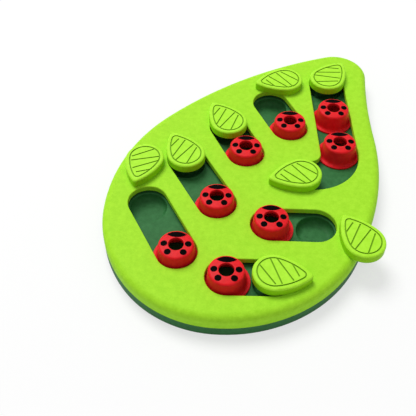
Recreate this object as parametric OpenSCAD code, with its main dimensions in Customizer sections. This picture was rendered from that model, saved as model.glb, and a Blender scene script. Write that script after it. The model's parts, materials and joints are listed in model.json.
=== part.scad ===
// Treat puzzle board for a cat: a leaf-shaped tray with treat cups, a slotted cover, ladybug sliders
// that run in the slots, and leaf covers that swivel over the cups. Millimetres, +Z up.
// The origin is the middle of the board's length and width, on the surface that it stands on.

/* [Board outline] */
// Length of the board, from the front edge to the tip
board_l = 360.5; // [345:0.5:380]
// Width of the board
board_w = 269.5; // [255:0.5:285]
// Radius of the tip
tip_r = 33.5; // [28:0.5:38]
// How far the widest point of the left side lies behind the middle
left_y = -59.5; // [-75:0.5:-45]
// How far the foremost point lies right of the middle
front_x = -22; // [-32:0.5:-12]
// Radius of the shallow waist below the tip
waist_r = 600; // [500:10:700]

/* [Cover and tray] */
// Height of the cover's side
cover_h = 14; // [12.5:0.1:17]
// Thickness of the cover's top and skirt
cover_t = 2.6; // [2:0.1:3]
// Radius of the cover's rounded edge
edge_r = 7; // [5:0.1:8]
// Height of the tray's side that shows below the cover
base_h = 10.4; // [9:0.1:14]
// Thickness of the tray's walls and deck
tray_t = 2.2; // [1.6:0.1:2.6]
// Clearance between the cover's skirt and the tray's raised rim
seat_gap = 0.3; // [0.2:0.05:0.5]
// Depth of the slots' lips below the top of the cover
lip_drop = 5.5; // [4.8:0.1:6]
// Thickness of the wall round each slot
rim_t = 2.4; // [1.6:0.1:2.6]
// Radius of a treat cup at the deck
cup_r = 17.6; // [15:0.1:18]
// Depth of a treat cup below the deck
cup_depth = 8.6; // [7:0.1:10]
// Radius of the rounding round a cup's floor
cup_edge_r = 6; // [3:0.5:6.5]
// Radius of the rounding round a cup's mouth
cup_lip_r = 1.2; // [0.6:0.1:1.6]
// Radius of the rounding round each slot
slot_edge_r = 1; // [0.5:0.1:1.4]

/* [Slots: near end x and y, heading in degrees, travel] */
// Slot along the left side
slot_1 = [-62, -112, 118.5, 65]; // [-180:0.5:180]
// Slot right of it, towards the far left
slot_2 = [-28, -54, 119.5, 65]; // [-180:0.5:180]
// Middle slot
slot_3 = [-1, 13.5, 116, 42]; // [-180:0.5:180]
// Slot left of the long one
slot_4 = [44.5, 52.5, 115.5, 43]; // [-180:0.5:180]
// Slot across the right front
slot_5 = [22, -78, 0, 41.5]; // [-180:0.5:180]
// Slot across the front
slot_6 = [-17.5, -137.5, 1, 40.5]; // [-180:0.5:180]
// Long slot: far end x and y, heading of its straight leg, length of that leg
slot_7 = [88.5, 126, -87.5, 109.5]; // [-180:0.5:180]
// Radius of the long slot's bend, on its middle line
bend_r = 30.2; // [27:0.1:33]
// Length of the long slot's last leg, after the bend
bend_leg = 12.5; // [8:0.5:16]
// How far along the long slot its two ladybugs stand
long_stops = [52.5, 103.5]; // [50:0.5:106]

/* [Ladybugs] */
// Height of a ladybug above the cover
bug_rise = 11; // [9:0.5:14]
// Radius of a ladybug's body where it meets its flange
bug_r = 17.6; // [16.5:0.1:18.4]
// Taper of the body's side, in degrees
bug_taper = 6; // [3:0.5:9]
// Radius of the rounded shoulder
shoulder_r = 3; // [2.4:0.1:4]
// Radius of the domed top
dome_r = 60; // [50:1:120]
// Wall of the body
bug_wall = 1.8; // [1.4:0.1:2.2]
// Thickness of the top
bug_top_t = 3.2; // [3:0.1:3.6]
// Radius of the hole that treats drop through
bug_hole_r = 6.8; // [5:0.1:7]
// Clearance between a ladybug and the slot's edge
slot_gap = 1.2; // [0.6:0.1:1.5]
// How far the flange reaches under the slot's lip
flange_reach = 2.5; // [1.8:0.1:2.8]
// Thickness of the flange
flange_t = 1.6; // [1.4:0.1:2]
// Radius of the flare from the body to the flange
flare_r = 2.4; // [1:0.1:2.6]
// Clearance below the flange
run_gap = 0.3; // [0.2:0.05:0.5]
// Clearance between the flange and the lip above it
lip_gap = 1; // [0.8:0.05:1.2]

/* [Ladybug spots] */
// Radius of a round spot
spot_r = 2.75; // [2:0.05:3]
// Sideways and forward place of the side spots
side_spot = [10.7, 0.5]; // [-12:0.1:12]
// Sideways and forward place of the front spots
front_spot = [6.9, -8.5]; // [-12:0.1:12]
// Width and depth of the lens-shaped head patch
patch_size = [17.4, 5.4]; // [4:0.1:18]
// How far the head patch lies behind the hole
patch_y = 10.3; // [9.6:0.1:10.6]
// Depth of the spots' pockets below the top of the dome
spot_depth = 2.2; // [2:0.1:2.5]
// How far the spots stand proud
spot_proud = 0.1; // [0.05:0.05:0.2]
// Clearance round a spot
spot_gap = 0.05; // [0.03:0.01:0.1]

/* [Leaf covers] */
// Radius of a leaf's round end
leaf_r = 18.8; // [17.5:0.1:20]
// Radius of a leaf's tip
leaf_tip_r = 3.5; // [3:0.1:4.4]
// Distance between the middles of the tip and the round end
leaf_span = 29.7; // [28:0.1:31]
// Distance from the pivot to the middle of the round end
leaf_reach = 27; // [26:0.1:28]
// Radius of a leaf's long sides
leaf_side_r = 55.7; // [50:0.1:90]
// Thickness of a leaf
leaf_t = 8.2; // [7:0.1:9.5]
// Radius of a leaf's rounded top edge
leaf_edge_r = 2; // [1.2:0.1:2.2]
// Wall of a leaf, which is open below
leaf_wall = 2.2; // [2:0.1:2.6]
// Clearance under a leaf
leaf_lift = 0.3; // [0.2:0.05:0.5]
// Distance of the engraved outline from a leaf's edge
groove_in = 3.8; // [3:0.1:4.5]
// Width of the engraved lines
groove_w = 1.1; // [0.8:0.1:1.4]
// Depth of the engraved lines
groove_d = 0.8; // [0.5:0.1:1]
// First vein from the tip: x and y of its two ends, from the pivot
vein_1 = [4, 4.5, 13.2, -11]; // [-18:0.5:45]
// Second vein
vein_2 = [10, 6.5, 27, -13.5]; // [-18:0.5:45]
// Third vein
vein_3 = [19, 11.5, 32, -13]; // [-18:0.5:45]
// Fourth vein
vein_4 = [23.5, 13.5, 40.8, -4.5]; // [-18:0.5:45]
// Headings of the first four leaves when they close their cups
leaf_close_a = [-61.5, -60.5, -59, -68]; // [-180:0.5:200]
// Headings of the last four leaves when they close their cups
leaf_close_b = [183, 175, -124.5, 23.5]; // [-180:0.5:200]
// How far the first four leaves stand open
leaf_open_a = [139.5, 0, 2, 81]; // [-140:0.5:140]
// How far the last four leaves stand open
leaf_open_b = [116.5, 0, 0, -9]; // [-140:0.5:140]

/* [Fasteners and feet] */
// Radius of a leaf's pivot peg
peg_r = 3; // [2.6:0.1:3.3]
// Running clearance round the peg
peg_gap = 0.06; // [0.03:0.01:0.1]
// Radius of the boss round a peg
peg_boss_r = 5; // [4.6:0.1:5.4]
// Radius and thickness of the washer head below a peg
washer_head = [4.4, 1]; // [0.8:0.1:4.6]
// Radius of the small screws' shanks
screw_r = 1.25; // [1:0.05:1.5]
// Clearance round a screw in its pilot hole
pilot_gap = 0.05; // [0.03:0.01:0.1]
// Radius and height of a case screw's head
case_head = [3.3, 2]; // [1.5:0.1:3.5]
// Radius of the cover's screw posts
post_r = 4; // [3.4:0.1:4.4]
// Radius of a rubber foot
foot_r = 6; // [5.6:0.1:7]
// How far the feet stand below the tray
foot_h = 1; // [0.6:0.1:2]
// Depth of a foot's seat in the tray
foot_seat = 1.5; // [1:0.1:2]

/* [Hidden] */
$fn = 96;
eps = 0.05;

// Heights, from the surface up. The pegs end below the lips, and the case screws seat below the deck
peg_drop = 0.2;
post_seat = 3;
shoulder_z = foot_h + base_h;
top_z = shoulder_z + cover_h;
lip_z = top_z - lip_drop;
flange_z = lip_z - lip_gap - flange_t;
deck_z = flange_z - run_gap;
cup_z = deck_z - cup_depth;
bug_top_z = top_z + bug_rise;
leaf_z = top_z + leaf_lift;
leaf_top_z = leaf_z + leaf_t;
peg_end_z = lip_z - peg_drop;
case_seat_z = deck_z - post_seat;

// Radii that follow from the ladybugs
slot_r = bug_r + slot_gap;
flange_r = slot_r + flange_reach;

// Where the case screws and the feet over them are
case_plan = [
    [118, 134], [57, 128], [-60, 58], [-118, -72], [-74, -142], [74, -119], [113, -28], [-22, -97]
];
post_depth = 6.5;
case_r = 1.5;
case_clear = 0.2;

// What is left free beyond a screw's tip, a peg's pilot hole, and a small screw's head below its washer
tip_gap = 0.5;
pilot_depth = lip_drop - tip_gap;
screw_head_h = 1;

// The board's size that the places are drawn on: on another board they spread with it
plan_w = 269.5;
plan_l = 360.5;
function on_board(p) = [p.x * board_w / plan_w, p.y * board_l / plan_l];

// A slot's middle line. The long slot turns right by a square corner
straight = [slot_1, slot_2, slot_3, slot_4, slot_5, slot_6];
function way(h) = [cos(h), sin(h)];
function slot_start(s) = on_board([s[0], s[1]]);
function slot_end(s) = slot_start(s) + s[3] * way(s[2]);
long_end = slot_end(slot_7) + bend_r * way(slot_7[2]) + (bend_r + bend_leg) * way(slot_7[2] - 90);

// Where the case screws, the ladybugs and the cups are and where the leaves turn
case_places = [for (p = case_plan) on_board(p)];
bug_places = concat(
    [for (s = straight) slot_start(s)],
    [for (d = long_stops) slot_start(slot_7) + d * way(slot_7[2])]
);
cup_places = concat([for (s = straight) slot_end(s)], [slot_start(slot_7), long_end]);
leaf_close = concat(leaf_close_a, leaf_close_b);
leaf_open = concat(leaf_open_a, leaf_open_b);
leaf_pivots = [for (i = [0:7]) cup_places[i] - leaf_reach * way(leaf_close[i])];

// An outline is a ring of tangent arcs, each [middle, radius, first direction, last direction].
// A negative radius is a hollow arc, and an inset takes the same amount off every radius.
// Neighbours share a direction, so both are cut along the same ray and meet without a step.
function solve2(u, v, d) = let (det = u.x * v.y - u.y * v.x)
    [(d.x * v.y - d.y * v.x) / det, (u.x * d.y - u.y * d.x) / det];
function in_steps(x, step) = step * round(x / step);
function arc_first(a, out = 0) = a[0] + (a[1] + out) * a[2];
function arc_last(a, out = 0) = a[0] + (a[1] + out) * a[3];
function arc_on(p, r, u, v) = [p - r * u, r, u, v];
function along(u) = [-u.y, u.x];
hair = 1e-8;

// The board's arcs meet in these directions, which are whole-number triangles. The radii are rounded
// to steps of the long sides, so that every arc's middle is a short decimal
to_side = [-57, 176] / 185;
to_shoulder = [-21, 20] / 29;
to_front = [-4, -3] / 5;
to_right = [15, -8] / 17;
to_waist = [544, 33] / 545;
to_tip = [180, -19] / 181;

// Radii that carry the outline from the tip through the widest point and the foremost point, and back.
// A short straight at each of these two points takes up the rounding
flat = 1;
left_p = [-board_w / 2, left_y];
front_p = [front_x, -board_l / 2];
tip_c = [board_w / 2 - tip_r, board_l / 2 - tip_r];
left_radii = solve2(
    to_shoulder - to_side, [-1, 0] - to_shoulder, left_p + [0, flat / 2] - tip_c - tip_r * to_side);
front_radii = solve2(
    to_front - [-1, 0], [0, -1] - to_front, front_p - [flat / 2, 0] - left_p + [0, flat / 2]);
right_radii = solve2(
    to_right - [0, -1], to_waist - to_right,
    tip_c + tip_r * to_tip - front_p - [flat / 2, 0] + waist_r * (to_tip - to_waist));
side_r = tip_r + in_steps(left_radii[0] - tip_r, 0.185);
left_r = side_r + in_steps(left_radii[1] - side_r, 0.029);
near_left_r = in_steps(front_radii[0], 0.1);
front_r = near_left_r + in_steps(front_radii[1] - near_left_r, 0.05);
hollow_r = in_steps(waist_r + tip_r, 0.181) - tip_r;
right_r = in_steps(right_radii[1] + hollow_r, 0.545) - hollow_r;
near_r = right_r + in_steps(right_radii[0] - right_r, 0.017);

tip_arc = [tip_c, tip_r, to_tip, to_side];
side_arc = arc_on(arc_last(tip_arc), side_r, to_side, to_shoulder);
left_arc = arc_on(arc_last(side_arc), left_r, to_shoulder, [-1, 0]);
waist_arc = [arc_first(tip_arc) + hollow_r * to_tip, -hollow_r, to_waist, to_tip];
right_arc = [arc_first(waist_arc) - right_r * to_waist, right_r, to_right, to_waist];
near_arc = [arc_first(right_arc) - near_r * to_right, near_r, [0, -1], to_right];
front_y = arc_first(near_arc).y + front_r;
front_x0 = arc_last(left_arc).x + near_left_r + (near_left_r - front_r) * to_front.x;
front_arc = [[front_x0, front_y], front_r, to_front, [0, -1]];
near_left_arc = [arc_first(front_arc) - near_left_r * to_front, near_left_r, [-1, 0], to_front];
board_arcs = [tip_arc, side_arc, left_arc, near_left_arc, front_arc, near_arc, right_arc, waist_arc];

// A leaf, with its pivot at the origin and its round end along +X: two circles and two long sides
leaf_c = [leaf_reach, 0];
leaf_tip_c = [leaf_reach - leaf_span, 0];
leaf_to_tip = leaf_side_r - leaf_tip_r;
leaf_side_x = (leaf_to_tip ^ 2 - (leaf_side_r - leaf_r) ^ 2 + leaf_span ^ 2) / (2 * leaf_span);
leaf_side_y = sqrt(leaf_to_tip ^ 2 - leaf_side_x ^ 2);
leaf_side_c = leaf_tip_c + [leaf_side_x, -leaf_side_y];
leaf_far_c = [leaf_side_c.x, -leaf_side_c.y];
leaf_round = (leaf_c - leaf_side_c) / (leaf_side_r - leaf_r);
leaf_point = (leaf_tip_c - leaf_side_c) / leaf_to_tip;
function mirrored(u) = [u.x, -u.y];
leaf_arcs = [
    [leaf_c, leaf_r, mirrored(leaf_round), [1, 0]],
    [leaf_c, leaf_r, [1, 0], leaf_round],
    [leaf_side_c, leaf_side_r, leaf_round, leaf_point],
    [leaf_tip_c, leaf_tip_r, leaf_point, mirrored(leaf_point)],
    [leaf_far_c, leaf_side_r, mirrored(leaf_point), mirrored(leaf_round)],
];

// A ladybug's half profile: a tapered side, a rounded shoulder and a domed top, grown by g all round
dome_c = [0, bug_top_z - dome_r];
function bug_low(g) = [bug_r + g / cos(bug_taper), flange_z];
function shoulder_c(g) = let (
    s = shoulder_r + g, d = dome_r + g - s,
    p = bug_low(g) - s * way(bug_taper) - dome_c,
    q = along(way(bug_taper)),
    u = sqrt(d ^ 2 - p * p + (p * q) ^ 2) - p * q
) dome_c + p + u * q;
function bug_arcs(g) = let (c = shoulder_c(g), up = (c - dome_c) / norm(c - dome_c)) [
    [c, shoulder_r + g, way(bug_taper), up],
    [dome_c, dome_r + g, up, [0, 1]],
];

// The strip along an arc, between its two end rays or a little past them, and as deep as given
module arc_strip(a, depth, past = 0) {
    both = a[2] + a[3];
    apex = a[1] > 0 ? [a[0] + 2 * (a[1] + 3) * both / (both * both)] : [];
    polygon(concat(
        [for (out = [-depth, 3]) arc_first(a, out) - past * along(a[2])], apex,
        [for (out = [3, -depth]) arc_last(a, out) + past * along(a[3])]
    ));
}

// What lies in that strip on the inner side of the arc
module arc_piece(a, inset, depth) {
    if (a[1] > 0) intersection() {
        translate(a[0]) circle(a[1] - inset, $fn = 360);
        arc_strip(a, depth);
    }
    else difference() {
        arc_strip(a, depth);
        translate(a[0]) circle(inset - a[1], $fn = 720);
    }
}

// Pieces of a ring of arcs: how deep its middle lies and its strips reach, and the arc after arc k
function least_r(arcs) = min([for (a = arcs) abs(a[1])]);
function core_depth(arcs) = 0.8 * least_r(arcs);
function strip_depth(arcs) = 0.95 * least_r(arcs);
function after(arcs, k) = arcs[(k + 1) % len(arcs)];
function is_flat(arcs, k) = norm(arc_last(arcs[k]) - arc_first(after(arcs, k))) > 0.01;
function core_points(arcs, depth) = [
    for (k = [0:len(arcs) - 1], last = [false, true])
        if (!last || is_flat(arcs, k)) last ? arc_last(arcs[k], -depth) : arc_first(arcs[k], -depth)
];

// The area inside a ring of arcs
module ring_area(arcs, inset = 0) {
    depth = strip_depth(arcs);
    polygon(core_points(arcs, core_depth(arcs)));
    for (k = [0:len(arcs) - 1]) {
        a = arcs[k];
        b = after(arcs, k);
        arc_piece(a, inset, depth);
        if (is_flat(arcs, k))
            polygon([arc_last(a, -depth), arc_last(a, -inset), arc_first(b, -inset), arc_first(b, -depth)]);
    }
}

// The outer corner of a profile, rounded by r: what is left of a rectangle and what is taken off it
module corner_waste(x, z, r) {
    translate([x - r, z - r]) difference() {
        square(r + 1);
        circle(r);
    }
}
module rounded_profile(x0, x1, z, h, r) {
    difference() {
        translate([x0, z]) square([x1 - x0, h]);
        corner_waste(x1, z + h, r);
    }
}

// The block inside a ring of arcs, with its top edge rounded by r. Neighbours overlap by a hair
module pillow(arcs, z, h, r, inset = 0) {
    depth = strip_depth(arcs);
    raised(z, z + h) polygon(core_points(arcs, core_depth(arcs)));
    for (k = [0:len(arcs) - 1]) {
        a = arcs[k];
        b = after(arcs, k);
        if (a[1] > 0) intersection() {
            raised(z, z + h) arc_strip(a, depth, hair);
            translate(a[0]) rotate_extrude($fn = 360) rounded_profile(0, a[1] - inset, z, h, r);
        }
        else difference() {
            raised(z, z + h) arc_strip(a, depth, hair);
            translate(a[0]) rotate_extrude($fn = 720) {
                edge = inset - a[1];
                translate([edge - 20, z - 1]) square([20, h + 2]);
                translate([2 * edge, 0]) mirror([1, 0]) corner_waste(edge, z + h, r);
            }
        }
        if (is_flat(arcs, k)) {
            l = norm(arc_first(b) - arc_last(a));
            translate(arc_first(b, -inset) + hair * along(b[2])) rotate(atan2(b[2].y, b[2].x))
                rotate([90, 0, 0]) linear_extrude(l + 2 * hair) rounded_profile(inset - depth, 0, z, h, r);
        }
    }
}

// Slots, each in its own frame: a round start and a leg along +X, with a round end
module leg(l, r) {
    circle(r);
    translate([0, -r]) square([l, 2 * r]);
}
module straight_slot(l, r) {
    leg(l, r);
    translate([l, 0]) circle(r);
}
module long_slot(r) {
    leg(slot_7[3], r);
    translate([slot_7[3], -bend_r]) {
        intersection() {
            difference() {
                circle(bend_r + r);
                if (bend_r > r) circle(bend_r - r);
            }
            square(bend_r + r + 1);
        }
        translate([bend_r, -bend_leg]) rotate(90) leg(bend_leg, r);
    }
}
module slots(r) {
    for (s = straight) translate(slot_start(s)) rotate(s[2]) straight_slot(s[3], r);
    translate(slot_start(slot_7)) rotate(slot_7[2]) long_slot(r);
}

// What the rounding round the slots takes off the cover's top: a half profile beyond radius r,
// led along the legs and round the ends and the bend. It meets the top at a slight angle
edge_lift = 0.02;
module hole_edge(r) {
    translate([2 * r, 0]) mirror([1, 0]) corner_waste(r, top_z + edge_lift, slot_edge_r);
}
module edge_turn(r, first, turn) {
    rotate([0, 0, first]) rotate_extrude(angle = turn) hole_edge(r);
}
module edge_legs(l, r) {
    for (side = [0, 1]) mirror([0, side, 0]) translate([l, 0, 0]) rotate([90, 0, -90]) linear_extrude(l)
        mirror([1, 0]) hole_edge(r);
}
module slot_edges(r) {
    for (s = straight) translate(slot_start(s)) rotate(s[2]) {
        edge_turn(r, 90, 180);
        edge_legs(s[3], r);
        translate([s[3], 0, 0]) edge_turn(r, -90, 180);
    }
    translate(slot_start(slot_7)) rotate(slot_7[2]) {
        edge_turn(r, 90, 180);
        edge_legs(slot_7[3], r);
        translate([slot_7[3], -bend_r, 0]) {
            edge_turn(bend_r + r, 0, 90);
            if (bend_r > r + slot_edge_r) rotate_extrude(angle = 90)
                corner_waste(bend_r - r, top_z + edge_lift, slot_edge_r);
            translate([bend_r, -bend_leg, 0]) rotate(90) {
                edge_turn(r, 90, 180);
                edge_legs(bend_leg, r);
            }
        }
    }
}

// A cup's half profile, grown by g
module cup_profile(g) {
    r = cup_r + g;
    edge = cup_edge_r + g;
    h = cup_depth + g;
    translate([0, cup_z - g]) {
        square([r - edge, h]);
        translate([0, edge]) square([r, h - edge]);
        intersection() {
            translate([r - edge, edge]) circle(edge);
            square([r, h]);
        }
    }
}

module at(places) {
    for (p = places) translate(p) children();
}

// What is drawn, raised from height z0 to z1
module raised(z0, z1) {
    translate([0, 0, z0]) linear_extrude(z1 - z0) children();
}

module top_cover() {
    under_z = top_z - cover_t + eps;
    color("yellowgreen") difference() {
        union() {
            difference() {
                pillow(board_arcs, shoulder_z, cover_h, edge_r);
                translate([0, 0, -eps])
                    pillow(board_arcs, shoulder_z, cover_h - cover_t + eps, edge_r - cover_t, cover_t);
            }
            raised(lip_z, under_z) slots(slot_r + rim_t);
            raised(lip_z, under_z) at(leaf_pivots) circle(peg_boss_r);
            raised(deck_z, under_z) at(case_places) circle(post_r);
        }
        raised(lip_z - 1, top_z + 1) slots(slot_r);
        slot_edges(slot_r);
        raised(lip_z - 1, top_z + 1) at(leaf_pivots) circle(peg_r + peg_gap);
        raised(deck_z - 1, deck_z + post_depth) at(case_places) circle(case_r + pilot_gap);
    }
}

module base_tray() {
    rim_in = cover_t + seat_gap;
    color("seagreen") difference() {
        union() {
            difference() {
                union() {
                    raised(foot_h, shoulder_z) ring_area(board_arcs);
                    raised(foot_h, deck_z) ring_area(board_arcs, rim_in);
                }
                raised(foot_h - 1, shoulder_z - tray_t) ring_area(board_arcs, tray_t);
                raised(foot_h - 1, deck_z - tray_t) ring_area(board_arcs, rim_in + tray_t);
            }
            at(cup_places) rotate_extrude() cup_profile(tray_t);
            raised(foot_h, deck_z) at(case_places) circle(foot_r + tray_t);
        }
        at(cup_places) rotate_extrude() {
            cup_profile(0);
            translate([0, deck_z - eps]) square([cup_r, 1]);
            translate([2 * cup_r, 0]) mirror([1, 0]) corner_waste(cup_r, deck_z, cup_lip_r);
        }
        raised(foot_h - 1, foot_h + foot_seat) at(case_places) circle(foot_r + pilot_gap);
        raised(0, case_seat_z) at(case_places) circle(case_head[0] + case_clear);
        raised(0, deck_z + 1) at(case_places) circle(case_r + case_clear);
    }
}

module case_screws() {
    color("silver") at(case_places) {
        translate([0, 0, case_seat_z - case_head[1]]) cylinder(h = case_head[1], r = case_head[0]);
        translate([0, 0, case_seat_z - eps]) cylinder(h = post_seat + post_depth - tip_gap, r = case_r);
    }
}

module rubber_feet() {
    color("dimgray") at(case_places) cylinder(h = foot_h + foot_seat, r = foot_r);
}

module bug_solid(g) {
    arcs = bug_arcs(g);
    depth = 0.6 * (shoulder_r + g);
    rotate_extrude() {
        polygon([
            [0, flange_z], bug_low(g), arc_first(arcs[0]), arc_first(arcs[0], -depth),
            arc_last(arcs[0], -depth), arc_last(arcs[1], -depth)
        ]);
        for (a = arcs) arc_piece(a, 0, depth);
    }
}

// The lens-shaped head patch: two equal circles that cross at its ends
module patch(gap) {
    w = patch_size[0] / 2;
    d = patch_size[1] / 2;
    r = (w ^ 2 + d ^ 2) / (2 * d);
    intersection() {
        translate([0, patch_y + r - d]) circle(r - gap);
        translate([0, patch_y - r + d]) circle(r - gap);
    }
}

// All the spots as upright columns on the pockets' floor, drawn in by gap
module spot_columns(gap) {
    raised(bug_top_z - spot_depth, bug_top_z + 1) {
        for (x = [-1, 1], s = [side_spot, front_spot]) translate([x * s.x, s.y]) circle(spot_r - gap);
        patch(gap);
    }
}

// The hollow curve between the body and the flange, in half profile
module bug_flare() {
    z = flange_z + flange_t;
    difference() {
        translate([bug_r - bug_wall, z - eps]) square([bug_wall + flare_r, flare_r + eps]);
        translate([bug_r + flare_r, z + flare_r]) circle(flare_r);
    }
}

module ladybug_shell(i) {
    color("crimson") translate(bug_places[i - 1]) difference() {
        union() {
            bug_solid(0);
            translate([0, 0, flange_z]) cylinder(h = flange_t, r = flange_r);
            rotate_extrude() bug_flare();
        }
        intersection() {
            translate([0, 0, -eps]) bug_solid(-bug_wall);
            cylinder(h = bug_top_z - bug_top_t, r = 2 * bug_r);
        }
        cylinder(h = bug_top_z + 1, r = bug_hole_r);
        spot_columns(0);
    }
}

module ladybug_spots(i) {
    color("black") translate(bug_places[i - 1]) intersection() {
        spot_columns(spot_gap);
        bug_solid(spot_proud);
    }
}

// A leaf drawn in so far that its tip becomes a point
module leaf_inside(inset) {
    round_x = (leaf_side_c + (leaf_side_r - inset) * leaf_round).x;
    translate(leaf_c) circle(leaf_r - inset);
    intersection() {
        translate(leaf_side_c) circle(leaf_side_r - inset);
        translate(leaf_far_c) circle(leaf_side_r - inset);
        translate([round_x - 3 * leaf_r, -2 * leaf_r]) square([3 * leaf_r, 4 * leaf_r]);
    }
}

// A straight line from p to q, with a little to spare at its ends
module vein(p, q) {
    l = norm(q - p) + 2 * groove_w;
    translate(p) rotate(atan2(q.y - p.y, q.x - p.x))
        translate([-groove_w, -groove_w / 2]) square([l, groove_w]);
}

// The lines engraved in a leaf: its outline, drawn in, and slanting veins
module leaf_lines() {
    difference() {
        leaf_inside(groove_in);
        leaf_inside(groove_in + groove_w);
    }
    intersection() {
        leaf_inside(groove_in + groove_w / 2);
        for (v = [vein_1, vein_2, vein_3, vein_4]) vein([v[0], v[1]], [v[2], v[3]]);
    }
}

module place_leaf(i) {
    translate(leaf_pivots[i - 1]) rotate(leaf_close[i - 1] + leaf_open[i - 1]) children();
}

module leaf_cover(i) {
    color("greenyellow") place_leaf(i) difference() {
        union() {
            difference() {
                pillow(leaf_arcs, leaf_z, leaf_t, leaf_edge_r);
                raised(leaf_z - 1, leaf_top_z - leaf_wall) ring_area(leaf_arcs, leaf_wall);
            }
            translate([0, 0, peg_end_z]) cylinder(h = leaf_top_z - leaf_wall - peg_end_z + eps, r = peg_r);
        }
        raised(leaf_top_z - groove_d, leaf_top_z + 1) leaf_lines();
        translate([0, 0, peg_end_z - 1]) cylinder(h = pilot_depth + 1, r = screw_r + pilot_gap);
    }
}

module leaf_screw(i) {
    color("silver") place_leaf(i) {
        translate([0, 0, peg_end_z - washer_head[1]]) cylinder(h = washer_head[1], r = washer_head[0]);
        translate([0, 0, peg_end_z - washer_head[1] - screw_head_h])
            cylinder(h = screw_head_h + eps, r = 2 * screw_r);
        translate([0, 0, peg_end_z - eps]) cylinder(h = pilot_depth - tip_gap, r = screw_r);
    }
}

base_tray();
top_cover();
case_screws();
rubber_feet();
for (i = [1:8]) {
    ladybug_shell(i);
    ladybug_spots(i);
    leaf_cover(i);
    leaf_screw(i);
}
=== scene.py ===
# %% [markdown]
# # A treat puzzle board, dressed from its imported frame
#
# The board is a leaf-shaped box of two mouldings. Hollow ladybugs slide in its slots, and leaf-shaped
# lids swivel over its treat cups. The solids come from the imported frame, already in place and in
# metres. This lesson is about what Blender adds to them: finishes, light, a camera, and pieces made
# afresh where the solids are plainer than the real thing. Those are ladybugs with flatter tops and
# larger spots, lids with wider lines that end in a rounded tip, screws with threads, and ringed feet.

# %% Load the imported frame
import json
import math

import bpy
from mathutils import Matrix, Vector


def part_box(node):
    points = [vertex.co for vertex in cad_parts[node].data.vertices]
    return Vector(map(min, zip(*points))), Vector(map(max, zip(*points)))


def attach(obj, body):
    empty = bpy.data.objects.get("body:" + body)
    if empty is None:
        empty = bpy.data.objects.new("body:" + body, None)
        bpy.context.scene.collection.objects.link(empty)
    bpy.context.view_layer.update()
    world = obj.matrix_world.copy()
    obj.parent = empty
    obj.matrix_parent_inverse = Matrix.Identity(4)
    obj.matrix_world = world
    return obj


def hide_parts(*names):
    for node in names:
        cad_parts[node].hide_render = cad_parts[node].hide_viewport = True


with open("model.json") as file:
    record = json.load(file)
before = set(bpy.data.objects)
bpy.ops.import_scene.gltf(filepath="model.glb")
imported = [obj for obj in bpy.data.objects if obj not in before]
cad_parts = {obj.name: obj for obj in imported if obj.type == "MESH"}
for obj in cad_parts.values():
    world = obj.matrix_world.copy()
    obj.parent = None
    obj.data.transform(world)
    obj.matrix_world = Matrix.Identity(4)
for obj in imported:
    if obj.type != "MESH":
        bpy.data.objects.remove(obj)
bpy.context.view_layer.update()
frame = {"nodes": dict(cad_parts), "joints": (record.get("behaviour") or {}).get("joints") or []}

nodes = frame["nodes"]
scene = bpy.context.scene
numbers = range(1, 9)  # ladybugs and lids are both numbered from 1 to 8

# %% [markdown]
# ## Colours and the nodes that carry them
#
# A photograph's colours are in sRGB, and a shader works with linear light, so each colour is turned
# once, here. Node trees can be drawn by hand in the editor or written in code. Written, they are easy
# to repeat and to change, and one small helper keeps them short: it adds a node, sets plain values on
# its sockets, and joins a socket of another node where it is given one.

# %% Helpers for colours and nodes


def colour(red, green, blue):
    """A colour as it looks on a screen, 0 to 255, as linear RGBA."""
    channels = []
    for level in (red, green, blue):
        share = level / 255
        channels.append(share / 12.92 if share <= 0.04045 else ((share + 0.055) / 1.055) ** 2.4)
    return (*channels, 1.0)


def add(tree, kind, **inputs):
    """A new node. Each input is a plain value or another node's socket; _ in a name is a space."""
    made = tree.nodes.new(kind)
    for label, value in inputs.items():
        socket = made.inputs[label.replace("_", " ")]
        if isinstance(value, bpy.types.NodeSocket):
            tree.links.new(value, socket)
        else:
            socket.default_value = value
    return made


def sum_of(tree, operation, *values):
    """One step of arithmetic on numbers or sockets, such as "ADD" or "LESS_THAN"."""
    made = tree.nodes.new("ShaderNodeMath")
    made.operation = operation
    for socket, value in zip(made.inputs, values):
        if isinstance(value, bpy.types.NodeSocket):
            tree.links.new(value, socket)
        else:
            socket.default_value = value
    return made.outputs["Value"]


print("lime in linear light:", [round(x, 3) for x in colour(166, 235, 55)])

# %% [markdown]
# ## Patterns
#
# Moulded plastic is never one flat colour. Its pigment drifts in soft clouds, and the mould's
# spark-eroded grain breaks up the light. Noise makes both: a low scale gives clouds, a high scale
# gives grain. A colour ramp turns the noise into tones, and a map range turns it into a roughness.

# %% Helpers for patterns


def blank_finish(name):
    """A new material, with its tree and its shader."""
    finish = bpy.data.materials.new(name)
    finish.use_nodes = True
    tree = finish.node_tree
    return finish, tree, tree.nodes["Principled BSDF"]


def noise(tree, place, scale, detail):
    """Noise in space. A scale of 1000 gives lumps of about a millimetre."""
    made = add(tree, "ShaderNodeTexNoise", Vector=place, Scale=scale, Detail=detail, Roughness=0.55)
    return made.outputs["Fac"]


def between(tree, share, low, high, start=0.3, end=0.7):
    """Turns a noise, which mostly lies from start to end, into a number from low to high."""
    made = add(
        tree, "ShaderNodeMapRange", Value=share, From_Min=start, From_Max=end, To_Min=low, To_Max=high)
    return made.outputs["Result"]


def tones(tree, share, stops):
    """Turns a number into a colour, by stops of (place, colour)."""
    made = add(tree, "ShaderNodeValToRGB", Fac=share)
    ramp = made.color_ramp
    while len(ramp.elements) < len(stops):
        ramp.elements.new(0.5)
    for element, (place, tone) in zip(ramp.elements, stops):
        element.position = place
        element.color = tone
    return made.outputs["Color"]


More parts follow.
